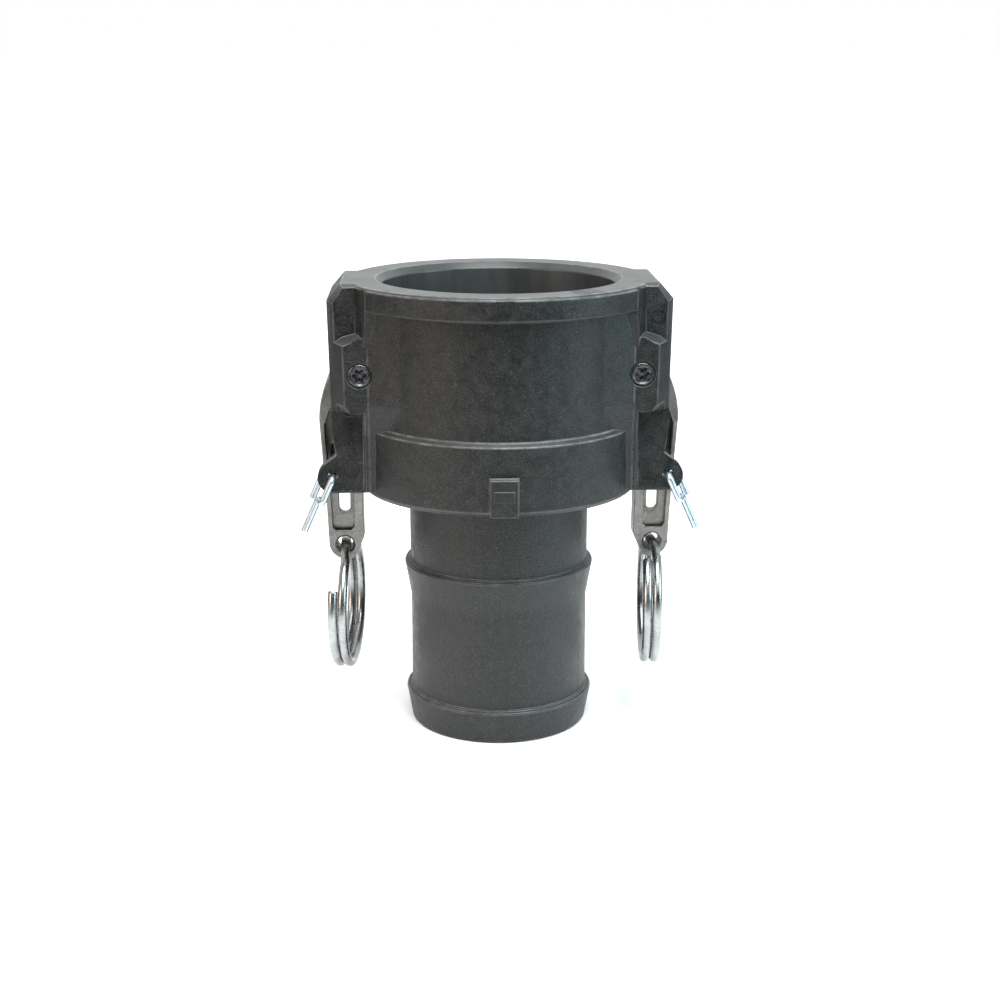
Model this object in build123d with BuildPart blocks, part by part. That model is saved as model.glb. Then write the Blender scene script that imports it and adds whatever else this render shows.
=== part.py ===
"""Two-inch camlock coupler with a hose shank, in millimetres.

The origin is the centre of the shank's end face. +Z runs up the flow axis and out
of the mouth, the two cam arms stand at +X and -X, and the pivots run along Y.
"""
import os
from math import cos, radians, sin

from build123d import *

os.makedirs("parts", exist_ok=True)

# Coupler body: heights above the shank's end face
total_height = 128.0
collar_bottom = 121.6
step_top = 89.4
step_bottom = 88.3
head_bottom = 69.5
upper_barb_height = 47.4
upper_barb_foot = 37.0
lower_barb_height = 9.3

# Coupler body: outer radii
collar_radius = 42.5
cylinder_radius = 37.8
flange_radius = 39.2
neck_radius = 25.35
shank_radius = 25.2
upper_barb_radius = 26.95
lower_barb_radius = 26.8
shank_tip_radius = 25.3

# Coupler body: inside
mouth_radius = 32.2
mouth_chamfer = 1.8
mouth_land_bottom = 111.6
socket_radius = 32.8
gasket_seat = 77.0
gasket_groove_height = 6.6
gasket_groove_radius = 33.5
passage_radius = 21.5
throat_bottom = 66.0

# Ears: distances from the flow axis along X, and half widths along Y
ear_outer = 46.8
ear_outer_foot = 46.0
ear_corner = 4.2
ear_bottom = 71.2
side_level = 13.9
side_slope = 0.59
panel_level = 16.8
pad_level = 21.0
rib_level = 22.6
notch_z = 81.6
lobe_level = 18.0
recess_level = 15.0
pad_bottom = 93.6
panel_bottom = 115.3
root_outer = 37.4
root_ramp_top = 96.5
root_top = 127.2
arm_slot_half = 6.3
arm_slot_roof = 118.5
arm_slot_floor = 37.9

# Safety clip lobe on each ear
lobe_x = 46.0
lobe_z = 75.4
lobe_radius = 4.2
clip_hole_radius = 1.6
lobe_inner_face = 13.0

# Pivot screws and nuts
pivot_x = 38.05
pivot_z = 104.2
screw_radius = 3.0
screw_hole_radius = 3.03
screw_face = 20.5
thread_radius = 2.48
thread_end = 19.9
nut_seat = 15.5
nut_across_flats = 8.0
nut_thickness = 4.0
counterbore_radius = 3.6
counterbore_depth = 0.7

# Cam arms
arm_hole_radius = 3.05
arm_half = 6.0
arm_tip_half = 3.6
web_half = 1.9
cam_radius = 9.9
head_radius = 6.0
ring_hole_x = 43.8
ring_hole_z = 52.35
ring_hole_radius = 2.35
ring_hole_chamfer = 0.5

# Split pull rings
ring_wire_radius = 1.35
ring_mean_radius = 17.65
ring_half_pitch = 1.38
ring_pivot_z = 52.1
ring_crossing = 34.0
ring_back_end = 37.0
ring_front_ends = {"left": 64.0, "right": 37.0}
ring_yaws = {"left": 6.5, "right": 4.0}

# Safety clips
clip_wire_radius = 0.975
clip_tilt = 24.0
clip_leg = 7.4
clip_reach = 17.6
clip_bar_offset = 1.3
clip_tail_offset = 2.7
clip_tail = 9.0
clip_front_y = -19.4
clip_bar_y = -15.6
clip_back_y = -11.65
clip_bend = 1.2

# Gasket
gasket_outer_radius = 33.25
gasket_inner_radius = 25.4
gasket_thickness = 6.35
gasket_edge = 0.6


def side_inset(level):
    """How far the ear's slanted side has come in at a distance level from the mid plane."""
    return side_slope * (level - side_level)


def plate_outline(level, top):
    """Corners of the ear's upper plate in XZ at a distance level from the mid plane."""
    inset = side_inset(level)
    return [
        (28.0, pad_bottom),
        (ear_outer_foot + 0.2 - inset, pad_bottom),
        (ear_outer - inset, total_height - ear_corner - 0.4 * inset),
        (ear_outer - 3.8 - 0.5 * inset, top),
        (28.0, top),
    ]


def pad_outline(level):
    """Corners of the raised pivot pad in XZ at a distance level from the mid plane."""
    outer = ear_outer - 0.1 - side_inset(level)
    drop = 0.24 * (level - panel_level)
    return [
        (28.0, root_ramp_top + 1.4),
        (root_outer - 1.6, root_ramp_top),
        (root_outer - 0.8, pad_bottom + 0.6),
        (root_outer + 0.6, pad_bottom),
        (outer - 1.6, pad_bottom + 0.5),
        (outer - 0.3, pad_bottom + 2.3),
        (outer, 112.7 - 0.4 * drop),
        (outer - 2.4, 114.1 - drop),
        (38.4, panel_bottom - drop),
        (28.0, panel_bottom - drop),
    ]


def root_outline(level, foot):
    """Corners of the ear's root in XY: a side from foot, a flat front at level, then a slope."""
    return [
        (20.0, 0.0),
        (foot, 0.0),
        (foot, -min(panel_level, level - 0.6)),
        (root_outer, 0.5 - level),
        (root_outer - 0.5, -level),
        (root_outer - 1.6, -level),
        (27.0, -level - 5.5),
        (20.0, -level - 5.5),
    ]


# The front half of the right-hand ear. The body takes four mirrored copies of it.
with BuildPart() as ear_half:
    # the lower half, with the lobe and the notch above it
    with BuildSketch(Plane.XZ):
        with BuildLine():
            Polyline(
                (root_outer - 1.4, ear_bottom),
                (lobe_x, ear_bottom),
                (lobe_x + 2.9, lobe_z + 3.04),
                (45.1, notch_z),
                (45.6, notch_z + 2.6),
                (ear_outer_foot, 89.0),
                (ear_outer_foot + 0.2, pad_bottom),
                (root_outer - 1.4, pad_bottom),
                close=True,
            )
        make_face()
        with Locations((lobe_x, lobe_z)):
            Circle(lobe_radius)
    extrude(amount=lobe_level)
    # scoop under the pad, deepest at its top
    with BuildSketch(Plane.YZ.offset(root_outer)):
        with BuildLine():
            Polyline(
                (-recess_level, pad_bottom),
                (-recess_level - 0.3, 89.0),
                (-lobe_level, 72.0),
                (-lobe_level - 5.0, 72.0),
                (-lobe_level - 5.0, pad_bottom),
                close=True,
            )
        make_face()
    extrude(amount=20.0, mode=Mode.SUBTRACT)
    # slanted side above the notch
    with BuildSketch(Plane.XY.offset(notch_z)):
        with BuildLine():
            Polyline(
                (ear_outer, -side_level),
                (ear_outer - side_inset(19.5), -19.5),
                (ear_outer + 5.0, -19.5),
                (ear_outer + 5.0, -side_level),
                close=True,
            )
        make_face()
    extrude(amount=pad_bottom - notch_z, mode=Mode.SUBTRACT)
    # upper plate, up to where its side starts to slant, then to the panel
    with BuildSketch(Plane.XZ):
        with BuildLine():
            Polyline(*plate_outline(side_level, total_height), close=True)
        make_face()
    extrude(amount=side_level)
    for lower, upper in ((side_level, panel_level), (panel_level, pad_level)):
        outline = plate_outline if upper == panel_level else pad_outline
        tops = (total_height, total_height - 0.6) if upper == panel_level else ()
        with BuildSketch(Plane.XZ.offset(lower)):
            with BuildLine():
                Polyline(*outline(lower, *tops[:1]), close=True)
            make_face()
        with BuildSketch(Plane.XZ.offset(upper)):
            with BuildLine():
                Polyline(*outline(upper, *tops[1:]), close=True)
            make_face()
        loft()
    # root beside the flange, leaning back below the pad, and the same root above it
    levels = (
        (ear_bottom, lobe_level),
        (87.6, lobe_level + 0.5),
        (root_ramp_top, pad_level - 0.1),
    )
    for lower, upper in zip(levels, levels[1:]):
        for height, level in (lower, upper):
            with BuildSketch(Plane.XY.offset(height)):
                with BuildLine():
                    Polyline(*root_outline(level, root_outer), close=True)
                make_face()
        loft()
    with BuildSketch(Plane.XY.offset(root_ramp_top)):
        with BuildLine():
            Polyline(*root_outline(pad_level, root_outer + 1.6), close=True)
        make_face()
    extrude(amount=root_top - root_ramp_top)
    # rib that ties the root to the collar, narrower and lower towards its front
    with BuildSketch(Plane.XZ.offset(pad_level)):
        with BuildLine():
            Polyline(
                (27.0, 104.0),
                (root_outer - 0.5, 112.0),
                (root_outer - 0.5, root_top),
                (27.0, root_top),
                close=True,
            )
        make_face()
    with BuildSketch(Plane.XZ.offset(rib_level)):
        with BuildLine():
            Polyline(
                (27.0, 118.5),
                (root_outer - 1.2, 121.0),
                (root_outer - 1.2, root_top - 0.4),
                (27.0, root_top - 0.4),
                close=True,
            )
        make_face()
    loft()

with BuildPart() as coupler_body:
    # outside of the head, shank and barbs
    with BuildSketch(Plane.XZ) as outer_profile:
        with BuildLine():
            Polyline(
                (0.0, 0.0),
                (shank_tip_radius - 0.5, 0.0),
                (shank_tip_radius, 0.5),
                (lower_barb_radius, lower_barb_height - 0.5),
                (lower_barb_radius - 0.25, lower_barb_height),
                (shank_radius + 0.3, lower_barb_height + 0.1),
                (shank_radius, lower_barb_height + 0.6),
                (shank_radius, upper_barb_foot),
                (upper_barb_radius, upper_barb_height - 0.5),
                (upper_barb_radius - 0.25, upper_barb_height),
                (neck_radius + 0.3, upper_barb_height + 0.1),
                (neck_radius, upper_barb_height + 0.6),
                (neck_radius, head_bottom - 1.0),
                (neck_radius + 1.0, head_bottom),
                (flange_radius - 1.2, head_bottom),
                (flange_radius, head_bottom + 1.2),
                (flange_radius, step_bottom),
                (cylinder_radius, step_top),
                (cylinder_radius, collar_bottom - 0.6),
                (cylinder_radius + 0.6, collar_bottom),
                (collar_radius - 0.4, collar_bottom),
                (collar_radius, collar_bottom + 0.4),
                (collar_radius, total_height - 0.8),
                (collar_radius - 0.8, total_height),
                (0.0, total_height),
                close=True,
            )
        make_face()
    revolve(axis=Axis.Z)
    # the ears, one pair at each side
    add(ear_half.part)
    mirror(ear_half.part, about=Plane.XZ)
    mirror(ear_half.part, about=Plane.YZ)
    with Locations(Location((0, 0, 0), (0, 0, 180))):
        add(ear_half.part)
    # lug at the bottom of the front
    with Locations((0, -38.0, 75.0)):
        Box(7.5, 6.0, 10.2)
    with Locations((0, -38.3, 75.6)):
        Box(5.4, 6.4, 3.0)
    # mouth, socket, gasket groove and flow passage
    with BuildSketch(Plane.XZ) as inner_profile:
        with BuildLine():
            Polyline(
                (0.0, -1.0),
                (passage_radius + 0.8, -1.0),
                (passage_radius + 0.8, 0.0),
                (passage_radius, 0.8),
                (passage_radius, throat_bottom),
                (gasket_inner_radius, gasket_seat),
                (gasket_groove_radius, gasket_seat),
                (gasket_groove_radius, gasket_seat + gasket_groove_height),
                (socket_radius, gasket_seat + gasket_groove_height),
                (socket_radius, mouth_land_bottom),
                (mouth_radius, mouth_land_bottom),
                (mouth_radius, total_height - mouth_chamfer),
                (mouth_radius + mouth_chamfer, total_height),
                (mouth_radius + mouth_chamfer, total_height + 1.0),
                (0.0, total_height + 1.0),
                close=True,
            )
        make_face()
    revolve(axis=Axis.Z, mode=Mode.SUBTRACT)
    for side in (-1, 1):
        # slot that the arm hangs in, and the window that its cam works through
        with BuildSketch(Plane.XZ):
            with Locations((side * (arm_slot_floor + 8.0), (arm_slot_roof + 60.0) / 2)):
                Rectangle(16.0, arm_slot_roof - 60.0)
            with Locations((side * 33.0, pivot_z + (head_radius - cam_radius) / 2)):
                Rectangle(10.7, head_radius + cam_radius + 0.9)
            with Locations((side * pivot_x, pivot_z)):
                Circle(cam_radius - 0.55)
        extrude(amount=arm_slot_half, both=True, mode=Mode.SUBTRACT)
        # pivot hole, its counterbore at the front and the nut's pocket at the back
        with BuildSketch(Plane.XZ):
            with Locations((side * pivot_x, pivot_z)):
                Circle(screw_hole_radius)
        extrude(amount=25.0, both=True, mode=Mode.SUBTRACT)
        with BuildSketch(Plane.XZ.offset(pad_level - counterbore_depth)):
            with Locations((side * pivot_x, pivot_z)):
                Circle(counterbore_radius)
        extrude(amount=3.0, mode=Mode.SUBTRACT)
        with BuildSketch(Plane.XZ.offset(-nut_seat)):
            with Locations((side * pivot_x, pivot_z)):
                RegularPolygon(nut_across_flats / 2 + 0.15, 6, major_radius=False)
        extrude(amount=-8.0, mode=Mode.SUBTRACT)
        # clip hole through both lobes, and room behind the front one for the wire
        with BuildSketch(Plane.XZ):
            with Locations((side * lobe_x, lobe_z)):
                Circle(clip_hole_radius)
        extrude(amount=25.0, both=True, mode=Mode.SUBTRACT)
        with BuildSketch(Plane.XZ.offset(arm_slot_half - 0.5)):
            with Locations((side * 48.0, 76.0)):
                Rectangle(9.0, 14.0)
        extrude(amount=lobe_inner_face - arm_slot_half + 0.5, mode=Mode.SUBTRACT)
        # shallow ejector mark on each upper panel
        for face in (-1, 1):
            with BuildSketch(Plane.XZ.offset(face * (panel_level - 0.5))):
                with Locations((side * 42.5, 119.0)):
                    Circle(2.0)
            extrude(amount=face * 2.0, mode=Mode.SUBTRACT)
    # ejector mark on the front of the collar
    with BuildSketch(Plane.XZ.offset(collar_radius - 0.35)):
        with Locations((0, 124.6)):
            Circle(1.85)
    extrude(amount=2.0, mode=Mode.SUBTRACT)
coupler_body.part.label = "coupler_body"
export_step(coupler_body.part, "parts/coupler_body.step")

with BuildPart() as gasket:
    with BuildSketch(Plane.XY.offset(gasket_seat)):
        Circle(gasket_outer_radius)
        Circle(gasket_inner_radius, mode=Mode.SUBTRACT)
    extrude(amount=gasket_thickness)
    chamfer(gasket.edges().filter_by(GeomType.CIRCLE), gasket_edge)
gasket.part.label = "gasket"
export_step(gasket.part, "parts/gasket.step")

with BuildPart() as cam_arm_right:
    with BuildSketch(Plane.XZ) as arm_profile:
        with BuildLine():
            back = Polyline(
                (48.35, 53.0),
                (48.7, 62.0),
                (50.1, 89.0),
            )
            shoulder = ThreePointArc(back @ 1, (48.6, 98.0), (44.0, 106.6))
            head = ThreePointArc(
                shoulder @ 1,
                (41.6, 108.75),
                (pivot_x, pivot_z + head_radius),
            )
            nose = ThreePointArc(
                head @ 1,
                (pivot_x - 5.0, pivot_z + 5.0),
                (pivot_x - cam_radius + 0.5, pivot_z + 2.2),
            )
            cam = ThreePointArc(
                nose @ 1,
                (pivot_x - cam_radius * cos(radians(30)), pivot_z - cam_radius * sin(radians(30))),
                (pivot_x + 0.5, pivot_z - cam_radius),
            )
            front = Polyline(cam @ 1, (38.5, 60.0), (38.3, 54.6), (40.9, 48.7))
            tip = ThreePointArc(front @ 1, (46.4, 49.0), back @ 0)
        make_face()
    extrude(amount=arm_half, both=True)
    # the lever thins towards the ring hole
    with BuildSketch(Plane.YZ):
        with BuildLine():
            Polyline(
                (arm_half, 112.0),
                (arm_half, 88.0),
                (arm_tip_half, 62.0),
                (arm_tip_half, 45.0),
                (-arm_tip_half, 45.0),
                (-arm_tip_half, 62.0),
                (-arm_half, 88.0),
                (-arm_half, 112.0),
                close=True,
            )
        make_face()
    extrude(amount=60.0, mode=Mode.INTERSECT)
    # pockets between the rails, on both faces
    for face in (-1, 1):
        with BuildSketch(Plane.XZ.offset(face * web_half)):
            with BuildLine():
                Polyline(
                    (41.1, 57.6),
                    (42.0, 56.6),
                    (46.2, 56.6),
                    (47.1, 57.6),
                    (48.6, 87.5),
                    (46.9, 92.2),
                    (43.0, 92.6),
                    (41.2, 90.4),
                    close=True,
                )
            make_face()
        extrude(amount=face * 8.0, mode=Mode.SUBTRACT)
    # long slot through the web
    with BuildSketch(Plane.XZ):
        with BuildLine():
            outer_edge = Polyline((45.35, 62.6), (45.45, 72.0), (47.4, 79.0), (47.4, 81.2))
            crown = Polyline(outer_edge @ 1, (46.2, 82.8), (43.6, 82.8), (42.25, 81.4))
            inner_edge = Line(crown @ 1, (42.25, 62.6))
            foot = ThreePointArc(inner_edge @ 1, (43.8, 61.0), outer_edge @ 0)
        make_face()
    extrude(amount=10.0, both=True, mode=Mode.SUBTRACT)
    with BuildSketch(Plane.XZ):
        with Locations((pivot_x, pivot_z)):
            Circle(arm_hole_radius)
        with Locations((ring_hole_x, ring_hole_z)):
            Circle(ring_hole_radius)
    extrude(amount=10.0, both=True, mode=Mode.SUBTRACT)
    ring_hole_edges = (
        cam_arm_right.edges()
        .filter_by(GeomType.CIRCLE)
        .filter_by(lambda edge: abs(edge.radius - ring_hole_radius) < 0.001)
    )
    chamfer(ring_hole_edges, ring_hole_chamfer)
cam_arm_right.part.label = "cam_arm_right"
export_step(cam_arm_right.part, "parts/cam_arm_right.step")

with BuildPart() as cam_arm_left:
    mirror(cam_arm_right.part, about=Plane.YZ)
cam_arm_left.part.label = "cam_arm_left"
export_step(cam_arm_left.part, "parts/cam_arm_left.step")

with BuildPart() as pivot_screw_right:
    with BuildSketch(Plane.XZ.offset(screw_face)):
        with Locations((pivot_x, pivot_z)):
            Circle(screw_radius)
    extrude(amount=-(screw_face + nut_seat))
    chamfer(pivot_screw_right.edges().filter_by(GeomType.CIRCLE).sort_by(Axis.Y)[0], 0.35)
    with BuildSketch(Plane.XZ.offset(-nut_seat)):
        with Locations((pivot_x, pivot_z)):
            Circle(thread_radius)
    extrude(amount=-(thread_end - nut_seat))
    # six-lobe socket with a centre post
    with BuildSketch(Plane.XZ.offset(screw_face)):
        with Locations((pivot_x, pivot_z)):
            Circle(1.55)
            with PolarLocations(1.55, 6):
                Circle(0.45)
            Circle(0.45, mode=Mode.SUBTRACT)
    extrude(amount=-1.8, mode=Mode.SUBTRACT)
pivot_screw_right.part.label = "pivot_screw_right"
export_step(pivot_screw_right.part, "parts/pivot_screw_right.step")

with BuildPart() as pivot_screw_left:
    mirror(pivot_screw_right.part, about=Plane.YZ)
pivot_screw_left.part.label = "pivot_screw_left"
export_step(pivot_screw_left.part, "parts/pivot_screw_left.step")

with BuildPart() as pivot_nut_right:
    with BuildSketch(Plane.XZ.offset(-nut_seat - 0.02)):
        with Locations((pivot_x, pivot_z)):
            RegularPolygon(nut_across_flats / 2, 6, major_radius=False)
            Circle(thread_radius + 0.02, mode=Mode.SUBTRACT)
    extrude(amount=-nut_thickness)
pivot_nut_right.part.label = "pivot_nut_right"
export_step(pivot_nut_right.part, "parts/pivot_nut_right.step")

with BuildPart() as pivot_nut_left:
    mirror(pivot_nut_right.part, about=Plane.YZ)
pivot_nut_left.part.label = "pivot_nut_left"
export_step(pivot_nut_left.part, "parts/pivot_nut_left.step")

ring_centre_z = ring_pivot_z - ring_mean_radius


def ring_point(x_offset, angle):
    """A point of a ring's wire line, angle degrees from the top towards the back."""
    return Vector(
        x_offset,
        ring_mean_radius * sin(radians(angle)),
        ring_centre_z + ring_mean_radius * cos(radians(angle)),
    )


def ring_strand(start, middle, end):
    """A round strand along the arc through three points."""
    path = Edge.make_three_point_arc(start, middle, end)
    section = Plane(origin=path @ 0, z_dir=path % 0)
    return Solid.sweep(Face(Wire.make_circle(ring_wire_radius, section)), path=path)


def ring_pieces(front_end):
    """The two strands round the bottom, the one that crosses at the top, and two knees."""
    left_start = ring_point(-ring_half_pitch, ring_crossing)
    left_end = ring_point(-ring_half_pitch, 360.0 - front_end)
    right_start = ring_point(ring_half_pitch, ring_back_end)
    right_end = ring_point(ring_half_pitch, 360.0 - ring_crossing)
    return [
        ring_strand(left_start, ring_point(-ring_half_pitch, 180.0), left_end),
        ring_strand(right_start, ring_point(ring_half_pitch, 180.0), right_end),
        ring_strand(left_start, ring_point(0.0, 0.0), right_end),
        Solid.make_sphere(ring_wire_radius, Plane(left_start), -90, 90, 360),
        Solid.make_sphere(ring_wire_radius, Plane(right_end), -90, 90, 360),
    ]


# The two rings are the same hand, hang a little turned, and differ in where they end.
with BuildPart() as pull_ring_right:
    right_place = Location((ring_hole_x, 0, 0), (0, 0, -ring_yaws["right"]))
    for piece in ring_pieces(ring_front_ends["right"]):
        add(piece.moved(right_place))
pull_ring_right.part.label = "pull_ring_right"
export_step(pull_ring_right.part, "parts/pull_ring_right.step")

with BuildPart() as pull_ring_left:
    left_place = Location((-ring_hole_x, 0, 0), (0, 0, -ring_yaws["left"]))
    for piece in ring_pieces(ring_front_ends["left"]):
        add(piece.moved(left_place))
pull_ring_left.part.label = "pull_ring_left"
export_step(pull_ring_left.part, "parts/pull_ring_left.step")


def clip_point(along, outward, y):
    """A point of the right-hand clip's wire line, along and outward from its hole."""
    tilt = radians(clip_tilt)
    return (
        lobe_x + along * sin(tilt) + outward * cos(tilt),
        y,
        lobe_z - along * cos(tilt) + outward * sin(tilt),
    )


with BuildPart() as safety_clip_right:
    with BuildLine() as clip_path:
        FilletPolyline(
            clip_point(clip_reach, clip_bar_offset, clip_bar_y),
            clip_point(clip_leg, clip_bar_offset, clip_bar_y),
            clip_point(clip_leg, 0.0, clip_front_y),
            clip_point(0.0, 0.0, clip_front_y),
            clip_point(0.0, 0.0, clip_back_y),
            clip_point(0.0, clip_tail_offset, clip_back_y),
            clip_point(clip_tail, clip_tail_offset, clip_back_y),
            radius=clip_bend,
        )
    with BuildSketch(Plane(origin=clip_path.line @ 0, z_dir=clip_path.line % 0)):
        Circle(clip_wire_radius)
    sweep(path=clip_path.line)
safety_clip_right.part.label = "safety_clip_right"
export_step(safety_clip_right.part, "parts/safety_clip_right.step")

with BuildPart() as safety_clip_left:
    mirror(safety_clip_right.part, about=Plane.YZ)
safety_clip_left.part.label = "safety_clip_left"
export_step(safety_clip_left.part, "parts/safety_clip_left.step")
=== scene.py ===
"""Looks for a two-inch camlock hose coupler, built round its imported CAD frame."""
import logging
from dataclasses import dataclass
from enum import Enum
from math import atan2, cos, pi, radians, sin
from typing import ClassVar

import bmesh
import bpy
from mathutils import Matrix, Vector
from mathutils.bvhtree import BVHTree


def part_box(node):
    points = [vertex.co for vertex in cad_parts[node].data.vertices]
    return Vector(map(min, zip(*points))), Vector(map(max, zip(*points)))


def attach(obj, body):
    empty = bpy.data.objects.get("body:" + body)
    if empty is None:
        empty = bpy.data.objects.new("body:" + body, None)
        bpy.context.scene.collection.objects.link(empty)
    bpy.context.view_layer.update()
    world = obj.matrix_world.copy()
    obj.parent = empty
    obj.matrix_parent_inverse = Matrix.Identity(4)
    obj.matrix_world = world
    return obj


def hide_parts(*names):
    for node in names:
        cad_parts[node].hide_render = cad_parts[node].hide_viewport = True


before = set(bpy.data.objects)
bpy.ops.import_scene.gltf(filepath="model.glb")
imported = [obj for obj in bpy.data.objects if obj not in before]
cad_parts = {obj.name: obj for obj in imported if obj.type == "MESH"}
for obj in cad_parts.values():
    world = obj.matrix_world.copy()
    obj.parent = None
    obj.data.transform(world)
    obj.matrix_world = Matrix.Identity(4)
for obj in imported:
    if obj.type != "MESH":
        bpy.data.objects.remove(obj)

log = logging.getLogger("coupler")

MM = 0.001
SAME_PLACE = 0.002 * MM
FLAT = radians(0.4)
TINY = 0.01 * MM
NARROW = 1.6  # a face narrower than this many roundings keeps its edges
STRAY = 0.6  # a corner farther off than this many roundings goes back to the shape


class Side(Enum):
    """The two sides that the cam arms stand on, as the CAD nodes and bodies spell them."""

    LEFT = "left"
    RIGHT = "right"


class Slot(Enum):
    """The record's material slots."""

    BODY = "body_plastic"
    GASKET = "gasket_rubber"
    ARM = "arm_steel"
    SCREW = "screw_steel"
    RING = "ring_steel"
    CLIP = "clip_steel"


class Kind(Enum):
    """The shader nodes that the finishes use."""

    PRINCIPLED = "ShaderNodeBsdfPrincipled"
    OUTPUT = "ShaderNodeOutputMaterial"
    COORDINATE = "ShaderNodeTexCoord"
    MAPPING = "ShaderNodeMapping"
    ATTRIBUTE = "ShaderNodeAttribute"
    GEOMETRY = "ShaderNodeNewGeometry"
    SEPARATE = "ShaderNodeSeparateXYZ"
    NOISE = "ShaderNodeTexNoise"
    CELLS = "ShaderNodeTexVoronoi"
    LENGTH = "ShaderNodeVectorMath"
    RANGE = "ShaderNodeMapRange"
    MATH = "ShaderNodeMath"
    MIX = "ShaderNodeMix"
    BUMP = "ShaderNodeBump"
    GROUP = "ShaderNodeGroup"


# ---------------------------------------------------------------- shader wiring


@dataclass
class Wiring:
    """A node tree with short ways to add nodes and join their sockets."""

    tree: bpy.types.NodeTree

    def add(self, kind: Kind, values: dict[str | int, object] | None = None, **settings: object) -> bpy.types.Node:
        """Adds a node.

        Args:
            kind: The shader node to add.
            values: Input sockets, by name or number, with a value or a socket to join.
            settings: Properties of the node itself.

        Returns:
            The new node.
        """
        node = self.tree.nodes.new(kind.value)
        for name, setting in settings.items():
            setattr(node, name, setting)
        for name, value in (values or {}).items():
            self.feed(node.inputs[name], value)
        return node

    def feed(self, target: bpy.types.NodeSocket, value: object) -> None:
        """Joins a socket to target, or sets target's own value."""
        if isinstance(value, bpy.types.NodeSocket):
            self.tree.links.new(value, target)
        else:
            target.default_value = value

    def math(self, operation: str, first: object, second: object = 0.0, clamp: bool = False) -> bpy.types.NodeSocket:
        """Works out one sum.

        Args:
            operation: The Math node's operation.
            first: A number or socket.
            second: A number or socket.
            clamp: Whether the answer is kept between 0 and 1.

        Returns:
            The answer's socket.
        """
        return self.add(Kind.MATH, {0: first, 1: second}, operation=operation, use_clamp=clamp).outputs[0]

    def spread(self, value: object, low: float, high: float, to_low: float, to_high: float) -> bpy.types.NodeSocket:
        """Maps low..high onto to_low..to_high, clamped.

        Args:
            value: The socket to map.
            low: Input that gives to_low.
            high: Input that gives to_high.
            to_low: Lowest output.
            to_high: Highest output.

        Returns:
            The mapped socket.
        """
        inputs = {"Value": value, "From Min": low, "From Max": high, "To Min": to_low, "To Max": to_high}
        return self.add(Kind.RANGE, inputs, clamp=True).outputs[0]

    def blend(self, share: object, first: object, second: object) -> bpy.types.NodeSocket:
        """Mixes two colours.

        Args:
            share: How much of the second colour shows.
            first: A colour or socket.
            second: A colour or socket.

        Returns:
            The mixed colour's socket.
        """
        node = self.add(Kind.MIX, data_type="RGBA")
        for name, value in (("Factor", share), ("A", first), ("B", second)):
            wanted = "VALUE" if name == "Factor" else "RGBA"
            socket = next(s for s in node.inputs if s.name == name and s.type == wanted)
            self.feed(socket, value)
        return next(s for s in node.outputs if s.type == "RGBA")


def colour(red: float, green: float, blue: float) -> tuple[float, float, float, float]:
    """A linear colour with full alpha."""
    return (red, green, blue, 1.0)


@dataclass(frozen=True)
class Port:
    """One named input or output of a node group."""

    name: str
    socket: str = "NodeSocketFloat"
    default: float | None = None


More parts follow.
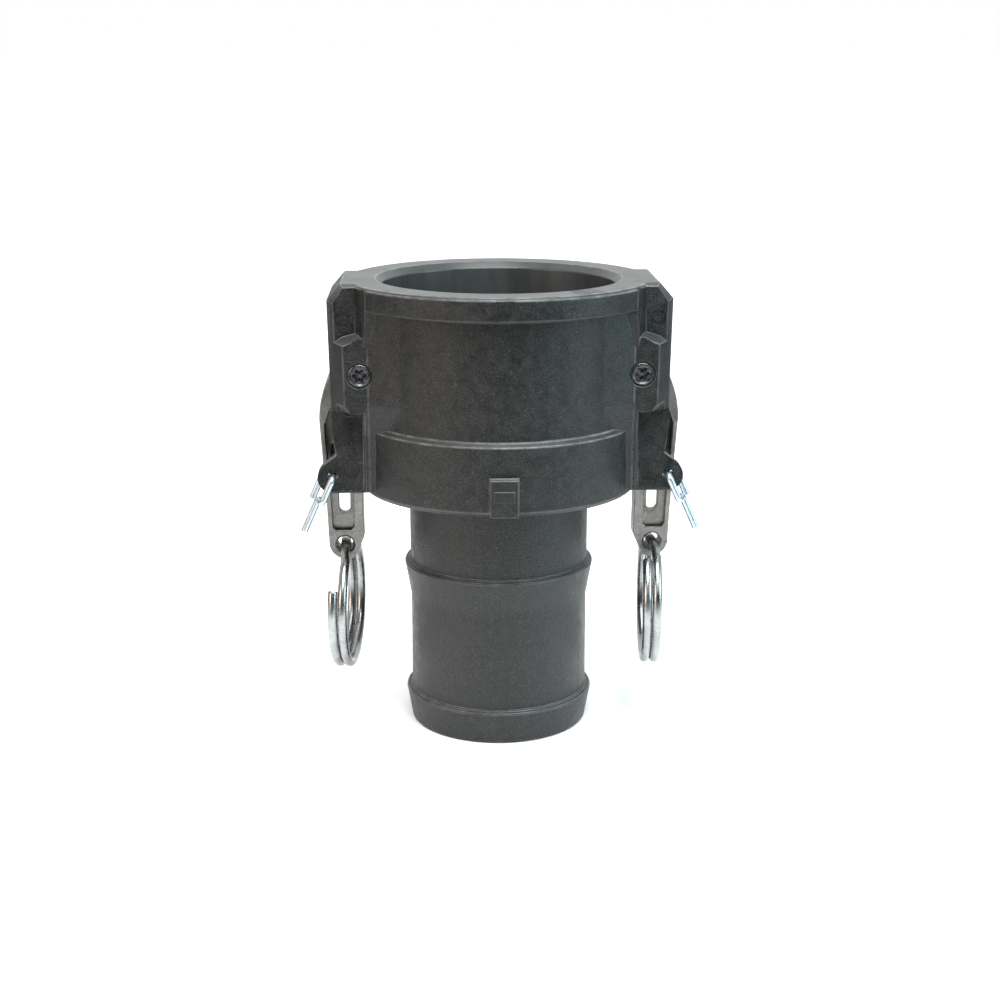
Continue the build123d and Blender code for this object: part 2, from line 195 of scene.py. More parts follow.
class Effects:
    """The shader node groups that the finishes share, each built once."""

    def __init__(self) -> None:
        """Builds the groups."""
        self.grain = self._grain()
        self.edge_wear_and_highlight = self._edge_wear_and_highlight()
        self.scuffs = self._scuffs()
        self.dust = self._dust()

    @staticmethod
    def _start(name: str, inputs: list[Port], outputs: list[Port]) -> tuple[Wiring, bpy.types.Node, bpy.types.Node]:
        """Starts a group.

        Args:
            name: The group's name.
            inputs: Its input ports.
            outputs: Its output ports.

        Returns:
            The wiring, the group's input node and its output node.
        """
        tree = bpy.data.node_groups.new(name, "ShaderNodeTree")
        for ports, way in ((inputs, "INPUT"), (outputs, "OUTPUT")):
            for port in ports:
                socket = tree.interface.new_socket(name=port.name, in_out=way, socket_type=port.socket)
                if port.default is not None:
                    socket.default_value = port.default
        return Wiring(tree), tree.nodes.new("NodeGroupInput"), tree.nodes.new("NodeGroupOutput")

    def _grain(self) -> bpy.types.NodeTree:
        """Cloudy mottling with a fine pitted grain in it.

        Returns:
            The group, with the outputs Clouds, Specks and Height.
        """
        wiring, given, made = self._start(
            "Moulded grain",
            [Port("Vector", "NodeSocketVector"), Port("Cloud Scale", default=160.0),
             Port("Grain Scale", default=1500.0)],
            [Port("Clouds"), Port("Specks"), Port("Height")],
        )
        clouds = wiring.add(Kind.NOISE, {"Vector": given.outputs["Vector"], "Scale": given.outputs["Cloud Scale"],
                                         "Detail": 5.0, "Roughness": 0.62})
        fine = wiring.add(Kind.NOISE, {"Vector": given.outputs["Vector"], "Scale": given.outputs["Grain Scale"],
                                       "Detail": 3.0, "Roughness": 0.6})
        cells = wiring.add(Kind.CELLS, {"Vector": given.outputs["Vector"],
                                        "Scale": wiring.math("MULTIPLY", given.outputs["Grain Scale"], 0.55)})
        specks = wiring.spread(fine.outputs[0], 0.52, 0.72, 0.0, 1.0)
        height = wiring.math("ADD", wiring.math("MULTIPLY", fine.outputs[0], 0.7),
                             wiring.math("MULTIPLY", cells.outputs["Distance"], 0.45))
        wiring.feed(made.inputs["Clouds"], wiring.spread(clouds.outputs[0], 0.32, 0.68, 0.0, 1.0))
        wiring.feed(made.inputs["Specks"], specks)
        wiring.feed(made.inputs["Height"], height)
        return wiring.tree

    def _edge_wear_and_highlight(self) -> bpy.types.NodeTree:
        """Rubbed edges with a painted highlight, stronger on edges that face up as if lit from above, broken up by
        noise.

        Returns:
            The group, with the output Mask.
        """
        wiring, given, made = self._start(
            "Edge rubbing and painted highlight",
            [Port("Edge", default=0.0), Port("Up", default=0.0), Port("Vector", "NodeSocketVector"),
             Port("Scale", default=220.0), Port("Amount", default=0.6)],
            [Port("Mask")],
        )
        rub_and_highlight_noise = wiring.add(Kind.NOISE, {"Vector": given.outputs["Vector"], "Scale": given.outputs["Scale"],
                                      "Detail": 4.0, "Roughness": 0.7})
        broken = wiring.spread(rub_and_highlight_noise.outputs[0], 0.38, 0.66, 0.3, 1.0)
        # Painted highlight: edges that face up get more of the mask, as the light falls from above.
        broken_and_lit_from_above = wiring.math("MULTIPLY", broken, wiring.spread(given.outputs["Up"], -0.1, 0.6, 0.22, 1.0))
        worn_and_highlight = wiring.math("MULTIPLY", given.outputs["Edge"], broken_and_lit_from_above)
        wiring.feed(made.inputs["Mask"], wiring.math("MULTIPLY", worn_and_highlight, given.outputs["Amount"], clamp=True))
        return wiring.tree

    def _scuffs(self) -> bpy.types.NodeTree:
        """Sparse thin handling marks.

        Returns:
            The group, with the output Mask.
        """
        wiring, given, made = self._start(
            "Scuffs",
            [Port("Vector", "NodeSocketVector"), Port("Scale", default=60.0), Port("Amount", default=0.5)],
            [Port("Mask")],
        )
        stretched = wiring.add(Kind.MAPPING, {"Vector": given.outputs["Vector"], "Rotation": (0.3, 0.7, 0.5),
                                              "Scale": (1.0, 1.0, 7.0)})
        lines = wiring.add(Kind.NOISE, {"Vector": stretched.outputs[0], "Scale": given.outputs["Scale"],
                                        "Detail": 5.0, "Roughness": 0.75, "Distortion": 0.6})
        patches = wiring.add(Kind.NOISE, {"Vector": given.outputs["Vector"], "Scale": 38.0, "Detail": 2.0})
        thin = wiring.spread(lines.outputs[0], 0.64, 0.72, 0.0, 1.0)
        some = wiring.spread(patches.outputs[0], 0.52, 0.66, 0.0, 1.0)
        both = wiring.math("MULTIPLY", thin, some)
        wiring.feed(made.inputs["Mask"], wiring.math("MULTIPLY", both, given.outputs["Amount"], clamp=True))
        return wiring.tree

    def _dust(self) -> bpy.types.NodeTree:
        """A faint bloom on faces that look up.

        Returns:
            The group, with the output Mask.
        """
        wiring, given, made = self._start(
            "Dust",
            [Port("Vector", "NodeSocketVector"), Port("Up", default=0.0), Port("Amount", default=0.3)],
            [Port("Mask")],
        )
        cloud = wiring.add(Kind.NOISE, {"Vector": given.outputs["Vector"], "Scale": 240.0, "Detail": 5.0})
        settled = wiring.math("MULTIPLY", wiring.spread(given.outputs["Up"], 0.35, 0.95, 0.0, 1.0),
                              wiring.spread(cloud.outputs[0], 0.3, 0.7, 0.35, 1.0))
        wiring.feed(made.inputs["Mask"], wiring.math("MULTIPLY", settled, given.outputs["Amount"], clamp=True))
        return wiring.tree


# ---------------------------------------------------------------- finishes


@dataclass(frozen=True)
class Finish:
    """A surface finish: its colours, its gloss, and its edge marks, which are partly real rubbing and partly a
    painted highlight.

    Attributes:
        name: The material's name.
        dark: The colour in the hollows of the mottling.
        light: The colour on its heights.
        worn_and_highlight: The colour of edges scuffed by rubbing, of marks and specks, and of the painted highlight
            on edges.
        roughness: Roughness where the mottling is dark and where it is light.
        metallic: 1 for bare metal, 0 for the rest.
        cloud_scale: How fine the mottling is.
        grain_scale: How fine the grain is.
        grain_depth: How deep the grain is, in metres.
        wear_and_highlight: How strong the edge marks are, from real rubbing and from the painted highlight.
        scuff: How strong the handling marks are.
        dust: How much dust lies on top.
        specular: The gloss's strength.
        speck: How much the grain's pale specks show.
        stretch: How the pattern is stretched along X, Y and Z.
    """

    name: str
    dark: tuple[float, float, float, float]
    light: tuple[float, float, float, float]
    worn_and_highlight: tuple[float, float, float, float]
    roughness: tuple[float, float]
    metallic: float = 0.0
    cloud_scale: float = 160.0
    grain_scale: float = 1500.0
    grain_depth: float = 0.00006
    wear_and_highlight: float = 0.5
    scuff: float = 0.4
    dust: float = 0.0
    specular: float = 0.5
    speck: float = 0.2
    stretch: tuple[float, float, float] = (1.0, 1.0, 1.0)

    def make(self, effects: Effects) -> bpy.types.Material:
        """Builds the material, or finds it if another piece has it already.

        Args:
            effects: The shared node groups.

        Returns:
            The material.
        """
        if self.name in bpy.data.materials:
            return bpy.data.materials[self.name]
        material = bpy.data.materials.new(self.name)
        material.use_nodes = True
        material.node_tree.nodes.clear()
        wiring = Wiring(material.node_tree)
        place = wiring.add(Kind.COORDINATE).outputs["Object"]
        along = wiring.add(Kind.MAPPING, {"Vector": place, "Scale": self.stretch}).outputs[0]
        edge = wiring.add(Kind.ATTRIBUTE, attribute_name="edge").outputs["Fac"]
        normal = wiring.add(Kind.GEOMETRY).outputs["Normal"]
        up = wiring.add(Kind.SEPARATE, {0: normal}).outputs["Z"]
        grain = wiring.add(Kind.GROUP, node_tree=effects.grain)
        wiring.feed(grain.inputs["Vector"], along)
        wiring.feed(grain.inputs["Cloud Scale"], self.cloud_scale)
        wiring.feed(grain.inputs["Grain Scale"], self.grain_scale)
        wear_and_highlight = wiring.add(Kind.GROUP, node_tree=effects.edge_wear_and_highlight)
        wiring.feed(wear_and_highlight.inputs["Edge"], edge)
        wiring.feed(wear_and_highlight.inputs["Up"], up)
        wiring.feed(wear_and_highlight.inputs["Vector"], place)
        wiring.feed(wear_and_highlight.inputs["Amount"], self.wear_and_highlight)
        scuff = wiring.add(Kind.GROUP, node_tree=effects.scuffs)
        wiring.feed(scuff.inputs["Vector"], place)
        wiring.feed(scuff.inputs["Amount"], self.scuff)
        dust = wiring.add(Kind.GROUP, node_tree=effects.dust)
        wiring.feed(dust.inputs["Vector"], place)
        wiring.feed(dust.inputs["Up"], up)
        wiring.feed(dust.inputs["Amount"], self.dust)
        tone = wiring.blend(grain.outputs["Clouds"], self.dark, self.light)
        speckled = wiring.blend(wiring.math("MULTIPLY", grain.outputs["Specks"], self.speck), tone, self.worn_and_highlight)
        # Edges marked by rubbing and a painted highlight: the edge colour on rounded edges, most on those that face
        # up.
        rubbed_and_highlit = wiring.blend(wear_and_highlight.outputs["Mask"], speckled, self.worn_and_highlight)
        marked = wiring.blend(scuff.outputs["Mask"], rubbed_and_highlit, self.worn_and_highlight)
        dusty = wiring.blend(dust.outputs["Mask"], marked, colour(0.42, 0.42, 0.41))
        rough = wiring.spread(grain.outputs["Clouds"], 0.0, 1.0, self.roughness[0], self.roughness[1])
        rough = wiring.math("SUBTRACT", rough, wiring.math("MULTIPLY", wear_and_highlight.outputs["Mask"], 0.12))
        rough = wiring.math("ADD", rough, wiring.math("MULTIPLY", dust.outputs["Mask"], 0.3), clamp=True)
        relief = wiring.math("SUBTRACT", grain.outputs["Height"], wiring.math("MULTIPLY", scuff.outputs["Mask"], 0.5))
        bump = wiring.add(Kind.BUMP, {"Height": relief, "Distance": self.grain_depth, "Strength": 1.0})
        shader = wiring.add(Kind.PRINCIPLED, {
            "Base Color": dusty, "Roughness": rough, "Metallic": self.metallic,
            "Specular IOR Level": self.specular, "Normal": bump.outputs[0]})
        output = wiring.add(Kind.OUTPUT)
        wiring.feed(output.inputs["Surface"], shader.outputs[0])
        return material


# In each finish the edge colour on rounded edges is partly real rubbing and partly a painted highlight.
MOULDED_PLASTIC = Finish(
    name="Glass-filled black plastic",
    dark=colour(0.002, 0.0022, 0.0022), light=colour(0.0135, 0.0142, 0.014), worn_and_highlight=colour(0.2, 0.207, 0.205),
    roughness=(0.3, 0.5), cloud_scale=330.0, grain_scale=3300.0, grain_depth=0.00012,
    wear_and_highlight=1.0, scuff=0.6, dust=0.12, specular=0.52, speck=0.3)
# The socket's plastic is the same black but smoother; its far lighter colour is painted light inside the socket.
LIT_SOCKET_WALL = Finish(
    name="Smooth socket wall with painted light",
    dark=colour(0.034, 0.036, 0.036), light=colour(0.066, 0.07, 0.07), worn_and_highlight=colour(0.12, 0.122, 0.12),
    roughness=(0.26, 0.4), cloud_scale=90.0, grain_scale=1900.0, grain_depth=0.00003,
    wear_and_highlight=0.3, scuff=0.3, dust=0.05, specular=0.55, speck=0.05, stretch=(1.0, 1.0, 0.15))
CAST_STEEL = Finish(
    name="Cast and tumbled steel",
    dark=colour(0.19, 0.18, 0.168), light=colour(0.34, 0.33, 0.315), worn_and_highlight=colour(0.62, 0.61, 0.59),
    roughness=(0.32, 0.5), metallic=1.0, cloud_scale=210.0, grain_scale=1300.0, grain_depth=0.00009,
    wear_and_highlight=0.55, scuff=0.35)
DRAWN_WIRE = Finish(
    name="Polished ring wire",
    dark=colour(0.34, 0.345, 0.345), light=colour(0.5, 0.505, 0.51), worn_and_highlight=colour(0.7, 0.71, 0.72),
    roughness=(0.22, 0.36), metallic=1.0, cloud_scale=300.0, grain_scale=2600.0, grain_depth=0.00002,
    wear_and_highlight=0.5, scuff=0.4)
PLATED_WIRE = Finish(
    name="Bright plated clip wire",
    dark=colour(0.5, 0.58, 0.66), light=colour(0.66, 0.75, 0.84), worn_and_highlight=colour(0.82, 0.88, 0.94),
    roughness=(0.3, 0.42), metallic=1.0, cloud_scale=500.0, grain_scale=3200.0, grain_depth=0.00003,
    wear_and_highlight=0.4, scuff=0.3)
MACHINED_STEEL = Finish(
    name="Machined screw steel",
    dark=colour(0.1, 0.1, 0.105), light=colour(0.24, 0.24, 0.25), worn_and_highlight=colour(0.62, 0.63, 0.65),
    roughness=(0.24, 0.38), metallic=1.0, cloud_scale=900.0, grain_scale=2600.0, grain_depth=0.00004,
    wear_and_highlight=1.0, scuff=0.4)
BLACK_RUBBER = Finish(
    name="Black nitrile rubber",
    dark=colour(0.012, 0.012, 0.012), light=colour(0.022, 0.022, 0.022), worn_and_highlight=colour(0.05, 0.05, 0.05),
    roughness=(0.6, 0.75), cloud_scale=220.0, grain_scale=2200.0, grain_depth=0.00003,
    wear_and_highlight=0.3, scuff=0.2, dust=0.1, specular=0.35)


# ---------------------------------------------------------------- meshes


def finished_piece(mesh: bmesh.types.BMesh, name: str, material: bpy.types.Material,
                   sharp_above: float = 40.0) -> bpy.types.Object:
    """Turns a bmesh into a smooth-shaded object at the origin.

    Args:
        mesh: The shape, which is freed.
        name: The object's name.
        material: Its material.
        sharp_above: Edges with a larger angle than this, in degrees, stay sharp.

    Returns:
        The object.
    """
    limit = radians(sharp_above)
    for face in mesh.faces:
        face.smooth = True
    for edge in mesh.edges:
        edge.smooth = len(edge.link_faces) == 2 and edge.calc_face_angle(0.0) < limit
    data = bpy.data.meshes.new(name)
    mesh.to_mesh(data)
    mesh.free()
    data.materials.append(material)
    piece = bpy.data.objects.new(name, data)
    bpy.context.scene.collection.objects.link(piece)
    weighted = piece.modifiers.new("Even shading", "WEIGHTED_NORMAL")
    weighted.keep_sharp = True
    weighted.weight = 80
    return piece


def soften(mesh: bmesh.types.BMesh, width: float, angle: float = 28.0, segments: int = 3,
           hollows: bool = True) -> None:
    """Rounds a shape's hard edges and marks the new faces in the "edge" layer.

    Edges that are already rounded are left, and so are those beside a face too narrow for the rounding.
    A corner that the rounding throws far from the shape is brought back to it.

    Args:
        mesh: The shape.
        width: How far the rounding reaches from the edge, in metres.
        angle: Edges sharper than this, in degrees, are rounded.
        segments: Faces across each rounding.
        hollows: Whether inside corners are rounded as well.
    """
    layer = mesh.faces.layers.float.get("edge") or mesh.faces.layers.float.new("edge")
    limit = radians(angle)
    hard = [edge for edge in mesh.edges if len(edge.link_faces) == 2 and edge.calc_face_angle(0.0) > limit
            and (hollows or edge.is_convex) and edge.calc_length() > width
            and all(face[layer] == 0.0 and face_width(face) > NARROW * width for face in edge.link_faces)]
    surface = BVHTree.FromBMesh(mesh)
    made = bmesh.ops.bevel(mesh, geom=hard, offset=width, offset_type="OFFSET", affect="EDGES", segments=segments,
                           profile=0.5, material=-1, loop_slide=False, clamp_overlap=False)
    for face in made["faces"]:
        face[layer] = 1.0
    for corner in mesh.verts:
        place, _, _, distance = surface.find_nearest(corner.co)
        if distance > STRAY * width:
            corner.co = place


def face_width(face: bmesh.types.BMFace) -> float:
    """How wide a face is, taken as a strip or ring of even width.

    Args:
        face: The face.

    Returns:
        The width in metres.
    """
    return 2.0 * face.calc_area() / face.calc_perimeter()


def merged_copy(node: str) -> bmesh.types.BMesh:
    """A CAD node's shape with its triangles joined into whole faces.

    Args:
        node: The CAD node's name.

    Returns:
        The shape.
    """
    mesh = bmesh.new()
    mesh.from_mesh(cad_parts[node].data)
    bmesh.ops.remove_doubles(mesh, verts=mesh.verts[:], dist=SAME_PLACE)
    bmesh.ops.dissolve_limit(mesh, angle_limit=FLAT, verts=mesh.verts[:], edges=mesh.edges[:])
    return mesh


@dataclass
class Part:
    """What every sub-assembly shares: its effects and a way to hand its pieces over."""

    effects: Effects
    fine_share: ClassVar[float] = 0.35

    def hand_over(self, piece: bpy.types.Object, body: str, slot: Slot, node: str) -> bpy.types.Object:
        """Gives a piece to the frame in place of a CAD node.

        Args:
            piece: The finished piece.
            body: The CAD body it moves with.
            slot: The record's slot it is painted from. Not used.
            node: The CAD node that it stands for.

        Returns:
            The piece.
        """
        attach(piece, body)
        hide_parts(node)
        log.info("%s: %d faces, rides on %s", piece.name, len(piece.data.polygons), body)
        return piece

    def softened_node(self, node: str, name: str, body: str, slot: Slot, finish: Finish, width: float,
                      segments: int = 3, hollows: bool = True) -> bpy.types.Object:
        """Makes a rounded, dressed stand-in for a CAD node.

        Args:
            node: The CAD node.
            name: The new piece's name.
            body: The CAD body it moves with.
            slot: The record's slot it is painted from.
            finish: Its finish.
            width: The rounding's width, in metres.
            segments: Faces across each rounding.
            hollows: Whether inside corners are rounded as well.

        Returns:
            The piece.
        """
        mesh = merged_copy(node)
        soften(mesh, width, segments=segments, hollows=hollows)
        soften(mesh, self.fine_share * width, segments=2, hollows=hollows)
        piece = finished_piece(mesh, name, finish.make(self.effects))
        return self.hand_over(piece, body, slot, node)


@dataclass
class CouplerShell(Part):
    """The moulded body."""

    edge_width: float = 0.34 * MM
    socket_reach: float = 33.95 * MM
    groove_slack: float = 0.1 * MM

    def build(self) -> None:
        """Builds the shell and gives its socket the smoother plastic, whose lighter colour is painted light."""
        shell = self.softened_node("coupler_body", "coupler_shell", "housing", Slot.BODY, MOULDED_PLASTIC,
                                   self.edge_width)
        shell.data.materials.append(LIT_SOCKET_WALL.make(self.effects))
        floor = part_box("gasket")[0].z
        # Painted light: faces inside the socket take the lighter copy of the plastic.
        for face in shell.data.polygons:
            if face.center.xy.length < self.socket_reach and face.center.z > floor - self.groove_slack:
                face.material_index = 1


@dataclass
class SealRing(Part):
    """The gasket in the groove at the bottom of the socket."""

    outer: float = 33.25 * MM
    inner: float = 25.4 * MM
    lip: float = 0.35 * MM
    lip_width: float = 1.6 * MM
    slope_end: float = 2.2 * MM
    corner: float = 0.36 * MM
    steps: int = 120

    def build(self) -> None:
        """Spins the gasket's section round the flow axis."""
        low, high = (corner.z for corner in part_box("gasket"))
        mesh = bmesh.new()
        section = [
            (self.inner, low), (self.outer, low), (self.outer, high), (self.outer - self.lip_width, high),
            (self.outer - self.slope_end, high - self.lip), (self.inner + self.slope_end, high - self.lip),
            (self.inner + self.lip_width, high), (self.inner, high),
        ]
        points = [mesh.verts.new((across, 0.0, height)) for across, height in section]
        loop = [mesh.edges.new((points[i - 1], points[i])) for i in range(len(points))]
        bmesh.ops.spin(mesh, geom=points + loop, axis=(0, 0, 1), cent=(0, 0, 0), angle=2 * pi,
                       steps=self.steps, use_merge=True)
        bmesh.ops.recalc_face_normals(mesh, faces=mesh.faces[:])
        soften(mesh, self.corner, angle=24.0)
        piece = finished_piece(mesh, "seal_ring", BLACK_RUBBER.make(self.effects))
        self.hand_over(piece, "housing", Slot.GASKET, "gasket")


@dataclass
class PivotScrew(Part):
    """One pivot screw with a star socket and a centre post."""

    side: Side = Side.LEFT
    radius: float = 3.0 * MM
    sides: int = 72
    rim: float = 0.35 * MM
    dish: float = 2.35 * MM
    dish_depth: float = 0.3 * MM
    socket: float = 1.62 * MM
    socket_mouth: float = 0.34 * MM
    points: int = 6
    lobe: float = 0.2
    depth: float = 1.5 * MM
    post: float = 0.5 * MM
    post_share: float = 0.75
    rim_share: float = 0.7
    nut_edge: float = 0.22 * MM

    def build(self) -> None:
        """Builds the screw and its nut."""
        node = f"pivot_screw_{self.side.value}"
        low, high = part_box(node)
        middle = (low + high) / 2
        length = high.y - low.y
        mesh, face = self._bar(length)
        face = self._star(mesh, face, length)
        self._post(mesh, face, length)
        self._round_rims(mesh)
        turn = Matrix.Translation((middle.x, high.y, middle.z)) @ Matrix.Rotation(pi / 2, 4, "X")
        bmesh.ops.transform(mesh, matrix=turn, verts=mesh.verts[:])
        piece = finished_piece(mesh, f"star_screw_{self.side.value}", MACHINED_STEEL.make(self.effects), 35.0)
        self.hand_over(piece, "housing", Slot.SCREW, node)
        self.softened_node(f"pivot_nut_{self.side.value}", f"hex_nut_{self.side.value}", "housing", Slot.SCREW,
                           MACHINED_STEEL, self.nut_edge)

    def _bar(self, length: float) -> tuple[bmesh.types.BMesh, bmesh.types.BMFace]:
        """Starts the screw as a plain bar that stands on the origin.

        Args:
            length: The bar's length, in metres.

        Returns:
            The shape and its upper end face.
        """
        mesh = bmesh.new()
        mesh.faces.layers.float.new("edge")
        bmesh.ops.create_circle(mesh, cap_ends=True, radius=self.radius, segments=self.sides)
        face = mesh.faces[:][0]
        if face.normal.z < 0:
            face.normal_flip()
        shank = bmesh.ops.extrude_face_region(mesh, geom=[face])
        end = next(part for part in shank["geom"] if isinstance(part, bmesh.types.BMFace))
        bmesh.ops.translate(mesh, verts=end.verts[:], vec=(0, 0, length))
        spare = [other for other in mesh.faces if len(other.verts) > 4 and other is not end]
        bmesh.ops.delete(mesh, geom=spare, context="FACES_ONLY")
        bmesh.ops.contextual_create(mesh, geom=[edge for edge in mesh.edges if edge.is_boundary])
        bmesh.ops.recalc_face_normals(mesh, faces=mesh.faces[:])
        return mesh, end

    def _star(self, mesh: bmesh.types.BMesh, face: bmesh.types.BMFace, length: float) -> bmesh.types.BMFace:
        """Dishes the end face and sinks the star socket into it.

        Args:
            mesh: The screw.
            face: Its upper end face.
            length: Its length, in metres.

        Returns:
            The socket's floor.
        """
        rings = ((self.radius - self.rim, 0.0), (self.dish, self.dish_depth), (self.socket, self.socket_mouth))
        for reach, drop in rings:
            bmesh.ops.inset_region(mesh, faces=[face], thickness=TINY)
            for corner in face.verts:
                angle = atan2(corner.co.y, corner.co.x)
                star = 1.0 + self.lobe * cos(self.points * angle) if reach == self.socket else 1.0
                corner.co = Vector((reach * star * cos(angle), reach * star * sin(angle), length - drop))
        floor = bmesh.ops.extrude_discrete_faces(mesh, faces=[face])["faces"][0]
        bmesh.ops.translate(mesh, verts=floor.verts[:], vec=(0, 0, -self.depth))
        return floor

    def _post(self, mesh: bmesh.types.BMesh, floor: bmesh.types.BMFace, length: float) -> None:
        """Raises the centre post from the socket's floor.

        Args:
            mesh: The screw.
            floor: The socket's floor.
            length: The screw's length, in metres.
        """
        bmesh.ops.inset_region(mesh, faces=[floor], thickness=TINY)
        for corner in floor.verts:
            angle = atan2(corner.co.y, corner.co.x)
            corner.co = Vector((self.post * cos(angle), self.post * sin(angle), length - self.depth))
        top = bmesh.ops.extrude_discrete_faces(mesh, faces=[floor])["faces"][0]
        bmesh.ops.translate(mesh, verts=top.verts[:], vec=(0, 0, self.depth * self.post_share))

    def _round_rims(self, mesh: bmesh.types.BMesh) -> None:
        """Rounds the two outer rims and marks them as edges."""
        layer = mesh.faces.layers.float["edge"]
        rims = [edge for edge in mesh.edges
                if all(abs(corner.co.xy.length - self.radius) < SAME_PLACE / 2 for corner in edge.verts)
                and abs(edge.verts[0].co.z - edge.verts[1].co.z) < SAME_PLACE / 20]
        made = bmesh.ops.bevel(mesh, geom=rims, offset=self.rim * self.rim_share, offset_type="OFFSET",
                               affect="EDGES", segments=3, profile=0.5, material=-1, clamp_overlap=False)
        for face in made["faces"]:
            face[layer] = 1.0


@dataclass
class CamLever(Part):
    """One cam arm with its ring and the safety clip beside it."""

    side: Side = Side.LEFT
    arm_edge: float = 0.34 * MM
    ring_edge: float = 0.18 * MM
    clip_edge: float = 0.16 * MM

    def build(self) -> None:
        """Builds the arm, ring and clip of one side."""
        word = self.side.value
        self.softened_node(f"cam_arm_{word}", f"cast_arm_{word}", f"arm_{word}", Slot.ARM, CAST_STEEL, self.arm_edge,
                           hollows=False)
        self.softened_node(f"pull_ring_{word}", f"split_ring_{word}", f"ring_{word}", Slot.RING, DRAWN_WIRE,
                           self.ring_edge, segments=2)
        self.softened_node(f"safety_clip_{word}", f"wire_clip_{word}", f"clip_{word}", Slot.CLIP, PLATED_WIRE,
                           self.clip_edge, segments=2)


# ---------------------------------------------------------------- studio


@dataclass(frozen=True)
class Softbox:
    """A square soft light aimed at the coupler.

    Attributes:
        name: The light's name.
        place: Where it stands, in metres.
        size: Its side, in metres.
        power: Its power, in watts.
        tint: Its colour.
    """

    name: str
    place: tuple[float, float, float]
    size: float
    power: float
    tint: tuple[float, float, float]


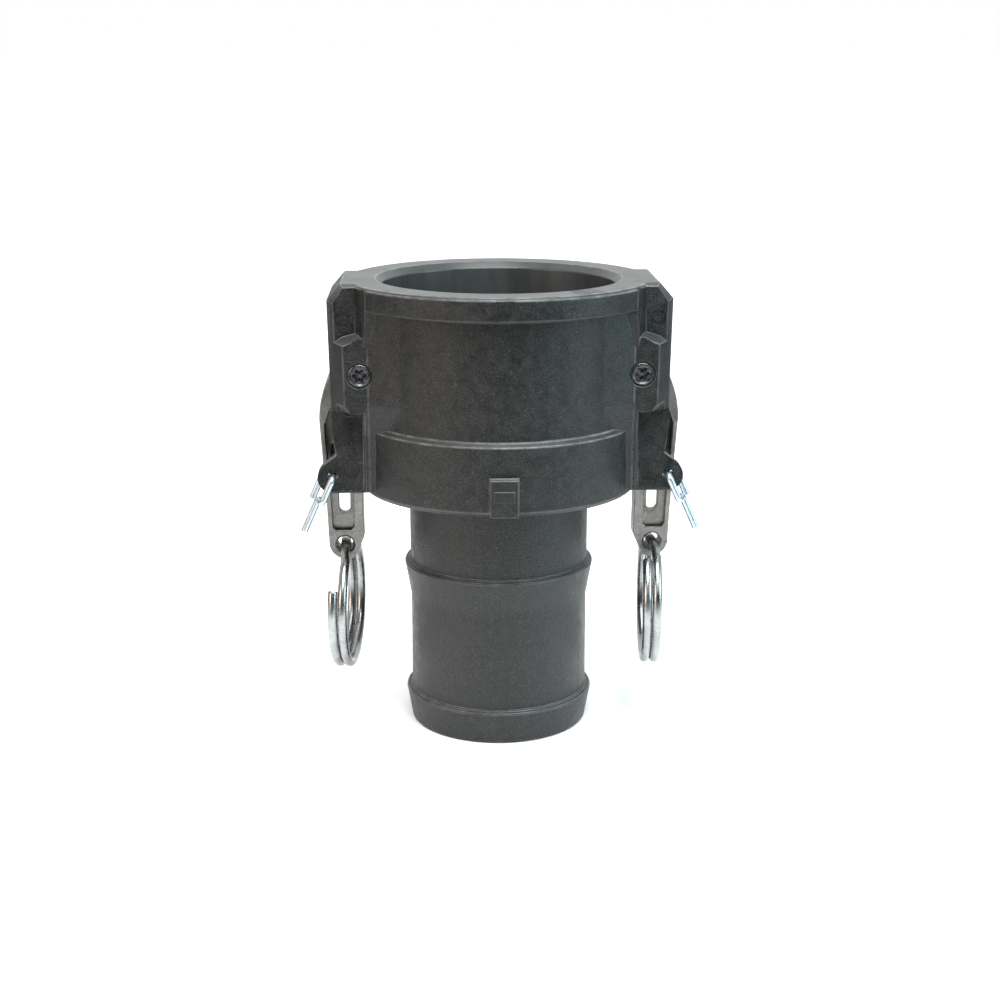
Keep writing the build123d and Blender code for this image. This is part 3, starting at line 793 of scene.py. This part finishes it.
@dataclass
class Studio:
    """Floor, lights and camera."""

    softboxes: tuple[Softbox, ...] = (
        Softbox("Overhead softbox", (0.06, -0.32, 0.72), 0.6, 8.5, (0.92, 0.98, 1.0)),
        Softbox("Warm side light", (-0.7, -0.5, 0.3), 0.4, 2.4, (1.0, 0.84, 0.7)),
        Softbox("Cool side light", (0.75, -0.3, 0.3), 0.4, 3.0, (0.68, 0.96, 1.0)),
    )
    lit_point: tuple[float, float, float] = (0.0, 0.0, 0.08)

    camera_place: tuple[float, float, float] = (-0.01802, -0.46905, 0.1898)
    camera_aim: tuple[float, float, float] = (0.0379, 0.9652, -0.25882)
    lens: float = 61.2
    floor_reach: float = 40.0
    floor_level: float = -0.0002
    floor_light: float = 3.2
    bright_floor: float = 0.12
    dim_floor: float = 0.36
    front_level: float = 0.05
    back_level: float = 1.0

    def build(self) -> None:
        """Builds the whole studio."""
        self._floor()
        self._world()
        for softbox in self.softboxes:
            self._softbox(softbox)
        self._camera()

    def _floor(self) -> None:
        """A plain pale floor with a lamp of its own, which throws less light back up."""
        mesh = bmesh.new()
        bmesh.ops.create_grid(mesh, x_segments=1, y_segments=1, size=self.floor_reach)
        bmesh.ops.translate(mesh, verts=mesh.verts[:], vec=(0, 0, self.floor_level))
        data = bpy.data.meshes.new("Floor")
        mesh.to_mesh(data)
        mesh.free()
        material = bpy.data.materials.new("Pale floor")
        material.use_nodes = True
        wiring = Wiring(material.node_tree)
        shader = material.node_tree.nodes["Principled BSDF"]
        seen = material.node_tree.nodes.new("ShaderNodeLightPath").outputs["Is Camera Ray"]
        place = wiring.add(Kind.COORDINATE).outputs["Object"]
        away = wiring.add(Kind.LENGTH, {0: place}, operation="LENGTH").outputs["Value"]
        near = wiring.spread(away, self.bright_floor, self.dim_floor, 1.0, 0.0)
        bounce = wiring.blend(near, colour(0.1, 0.1, 0.1), colour(0.76, 0.76, 0.76))
        wiring.feed(shader.inputs["Base Color"], wiring.blend(seen, bounce, colour(0.95, 0.95, 0.95)))
        shader.inputs["Roughness"].default_value = 0.9
        shader.inputs["Specular IOR Level"].default_value = 0.1
        data.materials.append(material)
        floor = bpy.data.objects.new("Floor", data)
        bpy.context.scene.collection.objects.link(floor)
        lit = bpy.data.collections.new("Floor only")
        lit.objects.link(floor)
        sun = bpy.data.lights.new("Floor lamp", "SUN")
        sun.energy = self.floor_light
        sun.angle = radians(60)
        lamp = bpy.data.objects.new("Floor lamp", sun)
        lamp.light_linking.receiver_collection = lit
        bpy.context.scene.collection.objects.link(lamp)

    def _world(self) -> None:
        """A soft surround that is darker towards the front, as in a room, and white where it is seen."""
        world = bpy.data.worlds.new("Studio surround")
        bpy.context.scene.world = world
        world.use_nodes = True
        tree = world.node_tree
        tree.nodes.clear()
        wiring = Wiring(tree)
        direction = wiring.add(Kind.COORDINATE).outputs["Generated"]
        parts = wiring.add(Kind.SEPARATE, {0: direction})
        room = wiring.spread(parts.outputs["Y"], -0.45, 0.55, self.front_level, self.back_level)
        sides = wiring.spread(parts.outputs["X"], -1.0, 1.0, 0.0, 1.0)
        tint = wiring.blend(sides, colour(1.0, 0.93, 0.88), colour(0.84, 0.98, 1.0))
        seen = tree.nodes.new("ShaderNodeLightPath").outputs["Is Camera Ray"]
        background = tree.nodes.new("ShaderNodeBackground")
        wiring.feed(background.inputs["Color"], wiring.blend(seen, tint, colour(1.0, 1.0, 1.0)))
        wiring.feed(background.inputs["Strength"], wiring.math("MAXIMUM", room, seen))
        output = tree.nodes.new("ShaderNodeOutputWorld")
        wiring.feed(output.inputs["Surface"], background.outputs[0])

    def _softbox(self, softbox: Softbox) -> None:
        """Adds one soft light.

        Args:
            softbox: The light.
        """
        data = bpy.data.lights.new(softbox.name, "AREA")
        data.size = softbox.size
        data.energy = softbox.power
        data.color = softbox.tint
        lamp = bpy.data.objects.new(softbox.name, data)
        lamp.location = softbox.place
        lamp.rotation_euler = (Vector(self.lit_point) - Vector(softbox.place)).to_track_quat("-Z", "Y").to_euler()
        bpy.context.scene.collection.objects.link(lamp)

    def _camera(self) -> None:
        """Places the camera."""
        data = bpy.data.cameras.new("Camera")
        data.lens = self.lens
        data.sensor_width = 36.0
        data.clip_start = 0.01
        data.clip_end = 200.0
        camera = bpy.data.objects.new("Camera", data)
        camera.location = self.camera_place
        camera.rotation_euler = Vector(self.camera_aim).to_track_quat("-Z", "Y").to_euler()
        bpy.context.scene.collection.objects.link(camera)
        bpy.context.scene.camera = camera


def main() -> None:
    """Builds the coupler and its studio in order."""
    logging.basicConfig(level=logging.INFO, format="%(name)s: %(message)s")
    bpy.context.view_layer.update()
    effects = Effects()
    CouplerShell(effects).build()
    SealRing(effects).build()
    for side in Side:
        PivotScrew(effects, side=side).build()
        CamLever(effects, side=side).build()
    Studio().build()
    bpy.context.scene.view_settings.view_transform = "Standard"


if __name__ == "__main__":
    main()
